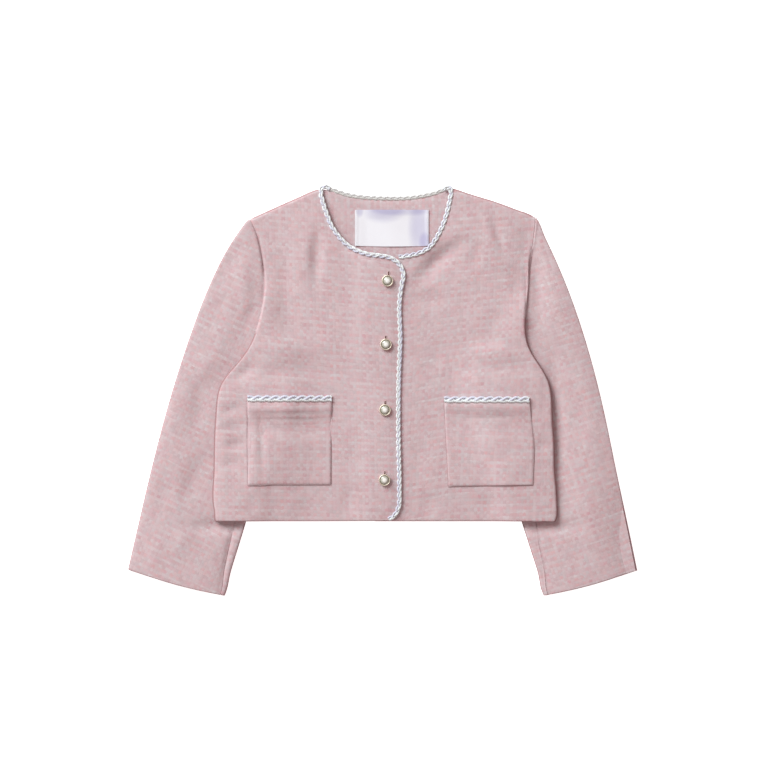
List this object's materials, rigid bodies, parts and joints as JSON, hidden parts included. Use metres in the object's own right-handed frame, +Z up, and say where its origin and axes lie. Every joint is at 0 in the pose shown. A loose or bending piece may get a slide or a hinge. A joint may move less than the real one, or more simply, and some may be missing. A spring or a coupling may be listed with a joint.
{
  "type": "cropped tweed jacket",
  "caption": "Cropped round-neck tweed jacket laid flat, buttoned up, with long sleeves, patch pockets and plaited braid along its neck, front edge and pocket tops.",
  "frame": {"origin": "on the surface the jacket lies on, under the middle of its whole outline", "axes": "+Z up from that surface, +Y towards the neck, +X towards the wearer's left sleeve"},
  "size_m": [0.5515, 0.4431, 0.0183],
  "materials": {
    "tweed": "matt pink and grey-white boucle weave",
    "braid": "white plaited braid with pale lilac-blue strands",
    "satin": "white woven satin",
    "rim": "pale gold, polished",
    "pearl": "pearl lustre"
  },
  "bodies": {
    "root": {"back_panel": "tweed", "front_right": "tweed", "front_left": "tweed", "sleeve_upper_right": "tweed", "sleeve_under_right": "tweed", "sleeve_upper_left": "tweed", "sleeve_under_left": "tweed", "pocket_right": "tweed", "pocket_left": "tweed", "trim_front_right": "braid", "trim_neck_left": "braid", "trim_neck_back": "braid", "trim_pocket_right": "braid", "trim_pocket_left": "braid", "label_neck": "satin", "button_rim_1": "rim", "button_rim_2": "rim", "button_rim_3": "rim", "button_rim_4": "rim", "button_pearl_1": "pearl", "button_pearl_2": "pearl", "button_pearl_3": "pearl", "button_pearl_4": "pearl"}
  },
  "joints": []
}
